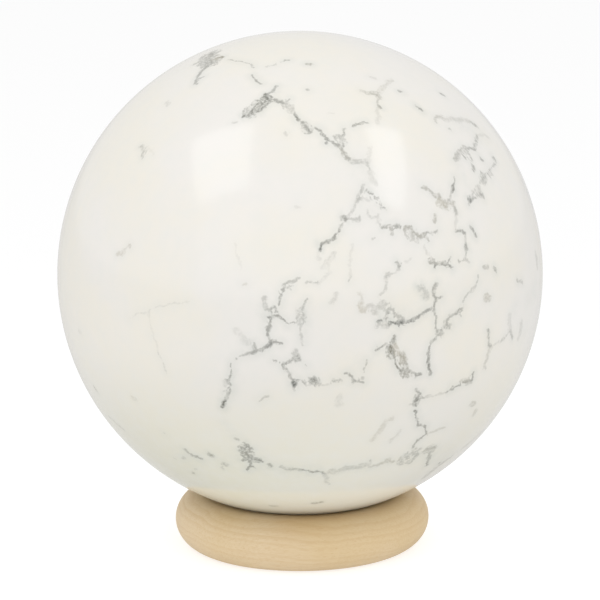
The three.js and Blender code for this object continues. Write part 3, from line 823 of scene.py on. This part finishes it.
def makeBall(values):
    sizes = {"Radius": ballRadius, "Centre Height": ballCentre.z, "Bands": values["bandCount"],
             "Fold Turn": math.radians(values["foldTurn"]), "Weld Distance": values["weldDistance"]}
    tree, given = newShapeTree("stone ball", sizes)
    count = plus(tree, given["Bands"], 1)
    grid = put(tree, "GeometryNodeMeshGrid",
               {"Size X": 2.0, "Size Y": 2.0, "Vertices X": count, "Vertices Y": count})
    mapped = put(tree, "GeometryNodeStoreNamedAttribute",
                 {"Geometry": grid.outputs["Mesh"], "Name": "OFBake"}, data_type="FLOAT2", domain="CORNER")
    tree.links.new(grid.outputs["UV Map"], mapped.inputs["Value"])
    # A square sheet folded round the ball: its middle is the top, its four corners meet below
    across, up = split(tree, put(tree, "GeometryNodeInputPosition").outputs[0])[:2]
    wide, tall = calc(tree, "ABSOLUTE", across), calc(tree, "ABSOLUTE", up)
    inside = minus(tree, 1.0, plus(tree, wide, tall))
    reach = minus(tree, 1.0, calc(tree, "ABSOLUTE", inside))
    turn = calc(tree, "DIVIDE", minus(tree, tall, wide), reach)
    turn = times(tree, plus(tree, turn, 1.0), math.pi / 4)
    square = times(tree, reach, reach)
    flat = times(tree, reach, calc(tree, "SQRT", minus(tree, 2.0, square)))
    x = times(tree, times(tree, calc(tree, "SIGN", across), calc(tree, "COSINE", turn)), flat)
    y = times(tree, times(tree, calc(tree, "SIGN", up), calc(tree, "SINE", turn)), flat)
    z = times(tree, calc(tree, "SIGN", inside), minus(tree, 1.0, square))
    folded = put(tree, "ShaderNodeVectorRotate",
                 {"Vector": joined(tree, x, y, z), "Angle": given["Fold Turn"]}, rotation_type="Z_AXIS")
    sized = scaled(tree, folded.outputs[0], given["Radius"])
    raised = vectorCalc(tree, "ADD", sized, joined(tree, z=given["Centre Height"]))
    placed = put(tree, "GeometryNodeSetPosition",
                 {"Geometry": mapped.outputs[0], "Position": raised}).outputs[0]
    closed = put(tree, "GeometryNodeMergeByDistance",
                 {"Geometry": placed, "Distance": given["Weld Distance"]}).outputs[0]
    smooth = put(tree, "GeometryNodeSetShadeSmooth", {"Geometry": closed, "Shade Smooth": True}).outputs[0]
    ball = shapeFromTree("polished_stone_ball", tree, sizes, smooth, stoneMaterial(values))

    mesh = ball.data
    points = np.empty(len(mesh.vertices) * 3, np.float32)
    mesh.vertices.foreach_get("co", points)
    points = (points.reshape(-1, 3).astype(float) - np.array(ballCentre)) / mm
    stretches, patches = layVeins(values)
    veinFields = ("veinWay", "veinDistance", "veinWidth", "veinTone", "veinTint")
    for name, field in zip(veinFields, nearestVein(points, stretches, values)):
        addValues(mesh, name, field)
    fullPatches = [(radius, 1.0, knots) for radius, strength, knots in patches]
    addValues(mesh, "crazing", softField(points, fullPatches))
    addValues(mesh, "crazingTone", nearestStrength(points, patches))
    addValues(mesh, "clouds", softField(points, clouds))
    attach(ball, "root")
    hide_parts("stone_sphere")
    print("ball made:", len(mesh.polygons), "faces,", len(stretches[0]), "vein stretches")


woodRing = {
    "sandedOff": 0.3 * mm,  # taken off the underside for its flat
    "edgeEasing": 0.12 * mm,
    "seatReach": 0.15 * mm,  # how far out from the touching line the seat is still rubbed to fit the ball
    "seatFit": 0.97,  # how much of the gap to the ball is closed
    "stepsRound": 240,
    "stepsAcross": 96,
    "stripMargin": 0.01,  # kept free round the unrolled strips
    "layerThickness": 1.25,  # mm, one year's growth
    "layerTilt": (0.03, -0.04, 1.0),
    "fibreStretch": (0.12, 1.0, 1.0),  # the grain runs along X
    "fleckStretch": (0.4, 1.6, 1.6),
    "poreStretch": (0.25, 1.0, 1.0),
    "seatShadowMiddle": (2.0, -18.5, 9.5),  # mm, the middle of a painted shadow, darker and warmer brown, on the front of the ring just below the ball's seat
    "paleWood": (212, 191, 157),  # the colours are sRGB, 0 to 255
    "creamWood": (208, 185, 145),
    # the colour of the painted shadow below the ball's seat
    "lateWood": (193, 162, 118),
    "seatShadowWood": (200, 168, 118),
    "fibre": (194, 162, 118),
    "fleck": (188, 150, 104),
    "pore": (172, 134, 92),
    "roughness": 0.52,
    "shine": 0.4,
    "bumpDepth": 0.05 * mm,
}


def woodMaterial(values):
    material, tree, shader = newMaterial("pale_beech")
    spot = scaled(tree, put(tree, "ShaderNodeTexCoord").outputs["Object"], 1 / mm)  # in mm

    def stretched(scale):
        return put(tree, "ShaderNodeMapping", {"Vector": spot, "Scale": scale}).outputs[0]

    # Growth layers lie almost level, so each shows as a contour line round the turned section
    bend = noise(tree, spot, 0.06, 2, 0.5)
    height = vectorCalc(tree, "DOT_PRODUCT", spot, values["layerTilt"])
    height = plus(tree, height, ramp(tree, bend, 0.3, 0.7, -0.7, 0.7, False))
    height = plus(tree, height, ramp(tree, noise(tree, spot, 0.25, 2), 0.3, 0.7, -0.1, 0.1, False))
    layer = calc(tree, "DIVIDE", height, values["layerThickness"])
    season, year = calc(tree, "FRACT", layer), calc(tree, "FLOOR", layer)
    yearTone = put(tree, "ShaderNodeTexWhiteNoise", {"W": year}, noise_dimensions="1D").outputs["Value"]
    lateWood = times(tree, ramp(tree, season, 0.2, 0.9), ramp(tree, season, 0.9, 1.0, 1, 0))
    lateWood = times(tree, lateWood, ramp(tree, yearTone, 0.0, 1.0, 0.25, 1.0, False))

    # Fibres, with darker ray flecks and open pores between them
    fibre = noise(tree, stretched(values["fibreStretch"]), 3.2, 3, 0.6)
    cells = put(tree, "ShaderNodeTexVoronoi", {"Vector": stretched(values["fleckStretch"]), "Scale": 1.1},
                feature="F1").outputs
    chosen = put(tree, "ShaderNodeSeparateColor", {"Color": cells["Color"]}).outputs[0]
    fleck = times(tree, ramp(tree, cells["Distance"], 0.1, 0.26, 1, 0), ramp(tree, chosen, 0.5, 0.7))
    holes = put(tree, "ShaderNodeTexVoronoi", {"Vector": stretched(values["poreStretch"]), "Scale": 3.4},
                feature="F1").outputs
    pore = ramp(tree, holes["Distance"], 0.08, 0.2, 1, 0)

    broad = noise(tree, spot, 0.05, 2, 0.5)
    colour = blendColour(tree, ramp(tree, broad, 0.35, 0.65), values["paleWood"], values["creamWood"])
    # The layers show more towards the top
    lateShare = times(tree, lateWood, ramp(tree, split(tree, spot)[2], 4.0, 10.0, 0.22, 0.42))
    colour = blendColour(tree, lateShare, colour, values["lateWood"])
    # A painted shadow, darker and warmer brown, on the front of the ring just below where the ball sits
    fromSeatShadow = vectorCalc(tree, "DISTANCE", spot, values["seatShadowMiddle"])
    fromSeatShadow = plus(tree, fromSeatShadow, ramp(tree, bend, 0.3, 0.7, -3.0, 3.0, False))
    colour = blendColour(tree, ramp(tree, fromSeatShadow, 2.0, 12.0, 0.55, 0), colour, values["seatShadowWood"])
    colour = blendColour(tree, ramp(tree, fibre, 0.42, 0.7, 0, 0.28), colour, values["fibre"])
    colour = blendColour(tree, times(tree, fleck, 0.3), colour, values["fleck"])
    colour = blendColour(tree, times(tree, pore, 0.22), colour, values["pore"])
    tree.links.new(colour, shader.inputs["Base Color"])
    gloss = ramp(tree, fibre, 0.3, 0.7, values["roughness"] - 0.06, values["roughness"] + 0.08, False)
    tree.links.new(gloss, shader.inputs["Roughness"])
    shader.inputs["Specular IOR Level"].default_value = values["shine"]

    relief = minus(tree, times(tree, fibre, 0.35), times(tree, pore, 0.6))
    relief = plus(tree, relief, times(tree, lateWood, 0.25))
    bump = put(tree, "ShaderNodeBump", {"Strength": 0.35, "Distance": values["bumpDepth"], "Height": relief})
    tree.links.new(bump.outputs["Normal"], shader.inputs["Normal"])
    return material


def makeRing(values):
    sectionRadius = (ringHigh.z + values["sandedOff"]) / 2
    middleRadius, height = ringHigh.x - sectionRadius, ringHigh.z - sectionRadius
    seatGap = math.hypot(middleRadius, ballCentre.z - height) - ballRadius - sectionRadius
    sizes = {"Middle Radius": middleRadius, "Section Radius": sectionRadius, "Centre Height": height,
             "Ball Radius": ballRadius, "Ball Height": ballCentre.z, "Seat Gap": seatGap,
             "Seat Reach": values["seatReach"], "Seat Fit": values["seatFit"],
             "Edge Easing": values["edgeEasing"],
             "Steps Round": values["stepsRound"], "Steps Across": values["stepsAcross"]}
    tree, given = newShapeTree("turned ring", sizes)

    def circle(steps, radius):
        inputs = {"Resolution": steps, "Radius": radius}
        return put(tree, "GeometryNodeCurvePrimitiveCircle", inputs).outputs["Curve"]

    def position():
        return put(tree, "GeometryNodeInputPosition").outputs[0]

    path = circle(given["Steps Round"], given["Middle Radius"])
    section = circle(given["Steps Across"], given["Section Radius"])
    turned = put(tree, "GeometryNodeCurveToMesh", {"Curve": path, "Profile Curve": section}).outputs["Mesh"]
    # Raised to its height, and the underside rubbed flat
    x, y, z = split(tree, position())
    rubbed = calc(tree, "SMOOTH_MAX", plus(tree, z, given["Centre Height"]), 0.0, given["Edge Easing"])
    stood = put(tree, "GeometryNodeSetPosition",
                {"Geometry": turned, "Position": joined(tree, x, y, rubbed)}).outputs[0]
    # The seat is rubbed to the ball, so that it closes the hair's breadth between them
    toBall = vectorCalc(tree, "SUBTRACT", joined(tree, z=given["Ball Height"]), position())
    gap = minus(tree, vectorCalc(tree, "LENGTH", toBall), given["Ball Radius"])
    furthest = plus(tree, given["Seat Gap"], given["Seat Reach"])
    closing = ramp(tree, gap, given["Seat Gap"], furthest, given["Seat Gap"], 0.0)
    nudge = scaled(tree, vectorCalc(tree, "NORMALIZE", toBall), times(tree, closing, given["Seat Fit"]))
    stood = put(tree, "GeometryNodeSetPosition", {"Geometry": stood, "Offset": nudge}).outputs[0]

    # The surface unrolls into two strips, one for each half of the ring
    def turnsOf(place):  # round the ring and round its section, from -0.5 to 0.5
        x, y, z = split(tree, place)
        fromAxis = calc(tree, "SQRT", plus(tree, times(tree, x, x), times(tree, y, y)))
        out, up = minus(tree, fromAxis, given["Middle Radius"]), minus(tree, z, given["Centre Height"])
        angles = calc(tree, "ARCTAN2", y, x), calc(tree, "ARCTAN2", up, out)
        return [calc(tree, "DIVIDE", angle, 2 * math.pi) for angle in angles]

    def unrolled(corner, middle):  # 0 to 1, without a jump inside a face
        step = calc(tree, "WRAP", minus(tree, corner, middle), 0.5, -0.5)
        return plus(tree, plus(tree, middle, step), 0.5)

    faceMiddle = put(tree, "GeometryNodeFieldOnDomain", {0: position()}, data_type="FLOAT_VECTOR",
                     domain="FACE").outputs[0]
    corners, middles = turnsOf(position()), turnsOf(faceMiddle)
    about, across = unrolled(corners[0], middles[0]), unrolled(corners[1], middles[1])
    half, margin = calc(tree, "GREATER_THAN", middles[0], 0.0), values["stripMargin"]
    u = minus(tree, times(tree, about, 2.0), half)
    u = calc(tree, "MULTIPLY_ADD", u, 1 - 2 * margin, margin)
    v = plus(tree, calc(tree, "MULTIPLY_ADD", across, 1 - 4 * margin, 2 * margin), half)
    spread = joined(tree, u, times(tree, v, 0.5))
    mapped = put(tree, "GeometryNodeStoreNamedAttribute",
                 {"Geometry": stood, "Name": "OFBake", "Value": spread},
                 data_type="FLOAT2", domain="CORNER").outputs[0]
    smooth = put(tree, "GeometryNodeSetShadeSmooth", {"Geometry": mapped, "Shade Smooth": True}).outputs[0]
    ring = shapeFromTree("turned_wood_ring", tree, sizes, smooth, woodMaterial(values))
    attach(ring, "root")
    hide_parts("wooden_ring_stand")
    print("ring made:", len(ring.data.polygons), "faces")


makeRing(woodRing)
makeBall(stoneBall)


studio = {
    "viewDistance": 0.7,  # from the ball's centre
    "viewTilt": 12.33,  # degrees down
    "viewRoll": -0.513,  # degrees
    "aimBelowCentre": 0.005425,
    "lens": 203.4,  # mm
    "nearestSeen": 0.01,
    "tableSize": 6.0,
    "tableWhite": 0.5,
    "tableRoughness": 0.9,
    "tableGlow": 0.44,
    "tableGlowNear": 0.2,  # added at the ring
    "tableGlowFall": 50.0,  # per square metre: what is added is down to a third 14 cm away
    "roomLevel": 1.03,
    "roomBackFall": -0.22,  # towards the far side
    "roomBelow": 0.7,
    "roomUnderfoot": 0.3,
    "underfoot": (-0.8, -0.35),  # how far down it starts and ends, from -1, straight down, to 0, level
    "horizonBlur": 0.02,
    "softboxDistance": 0.94,  # from the ball's centre
}
# Each softbox, seen from the ball: degrees to the right of the viewer, degrees above level, degrees that it is
# turned in its own plane, and then its width and height in m, and its glow
softboxes = {
    "left softbox": (-64, 55, 49.5, 0.40, 0.56, 1.15),
    "right softbox": (68, 50.5, -48, 0.24, 0.64, 1.4),
    "low card": (-38, 25, 15, 0.40, 0.52, 0.2),
}


def makeCamera(values):
    tilt, roll = math.radians(values["viewTilt"]), math.radians(values["viewRoll"])
    ahead = Vector((0, math.cos(tilt), -math.sin(tilt)))
    level, upright = Vector((1, 0, 0)), Vector((0, math.sin(tilt), math.cos(tilt)))
    right = level * math.cos(roll) + upright * math.sin(roll)
    top = upright * math.cos(roll) - level * math.sin(roll)
    data = bpy.data.cameras.new("camera")
    data.lens = values["lens"]
    data.clip_start = values["nearestSeen"]
    camera = bpy.data.objects.new("camera", data)
    camera.matrix_world = Matrix((right, top, -ahead)).transposed().to_4x4()
    camera.location = ballCentre - ahead * values["viewDistance"] - top * values["aimBelowCentre"]
    scene.collection.objects.link(camera)
    scene.camera = camera


def makeTable(values):  # a white table, lit from inside so that it stays white right up to the ring
    bpy.ops.mesh.primitive_plane_add(size=values["tableSize"], location=(0, 0, 0))
    table = bpy.context.object
    table.name = "table"
    material, tree, shader = newMaterial("white_table")
    distance = vectorCalc(tree, "LENGTH", put(tree, "ShaderNodeTexCoord").outputs["Object"])
    fade = calc(tree, "EXPONENT", times(tree, times(tree, distance, distance), -values["tableGlowFall"]))
    glow = calc(tree, "MULTIPLY_ADD", fade, values["tableGlowNear"], values["tableGlow"])
    grey = values["tableWhite"]
    shader.inputs["Base Color"].default_value = (grey, grey, grey, 1)
    shader.inputs["Roughness"].default_value = values["tableRoughness"]
    shader.inputs["Specular IOR Level"].default_value = 0.0
    shader.inputs["Emission Color"].default_value = (1, 1, 1, 1)
    tree.links.new(glow, shader.inputs["Emission Strength"])
    table.data.materials.append(material)
    table.visible_glossy = False  # the polish mirrors the dimmer room, which keeps its edge from burning out


def makeRoom(values):  # pale, a little brighter on the viewer's side and dimmer below the table's level
    world = bpy.data.worlds.new("room")
    world.use_nodes = True
    tree = world.node_tree
    x, y, z = split(tree, put(tree, "ShaderNodeTexCoord").outputs["Generated"])
    above = calc(tree, "MULTIPLY_ADD", y, values["roomBackFall"], values["roomLevel"])
    below = ramp(tree, z, *values["underfoot"], values["roomUnderfoot"], values["roomBelow"])
    level = ramp(tree, z, -values["horizonBlur"], values["horizonBlur"], below, above)
    background = tree.nodes["Background"]
    background.inputs["Color"].default_value = (1, 1, 1, 1)
    tree.links.new(level, background.inputs["Strength"])
    scene.world = world


def makeSoftbox(name, bearing, rise, turn, width, height, glow):  # faces the ball
    data = bpy.data.lights.new(name, "AREA")
    data.shape = "RECTANGLE"
    data.size = width
    data.size_y = height
    data.energy = math.pi * width * height * glow
    light = bpy.data.objects.new(name, data)
    swung = Matrix.Rotation(math.radians(bearing), 4, "Z")
    raised = Matrix.Rotation(math.radians(90 - rise), 4, "X")
    turned = Matrix.Rotation(math.radians(turn), 4, "Z")
    outward = Matrix.Translation((0, 0, studio["softboxDistance"]))
    light.matrix_world = Matrix.Translation(ballCentre) @ swung @ raised @ turned @ outward
    scene.collection.objects.link(light)


makeCamera(studio)
makeTable(studio)
makeRoom(studio)
for name, details in softboxes.items():
    makeSoftbox(name, *details)
print("studio set")
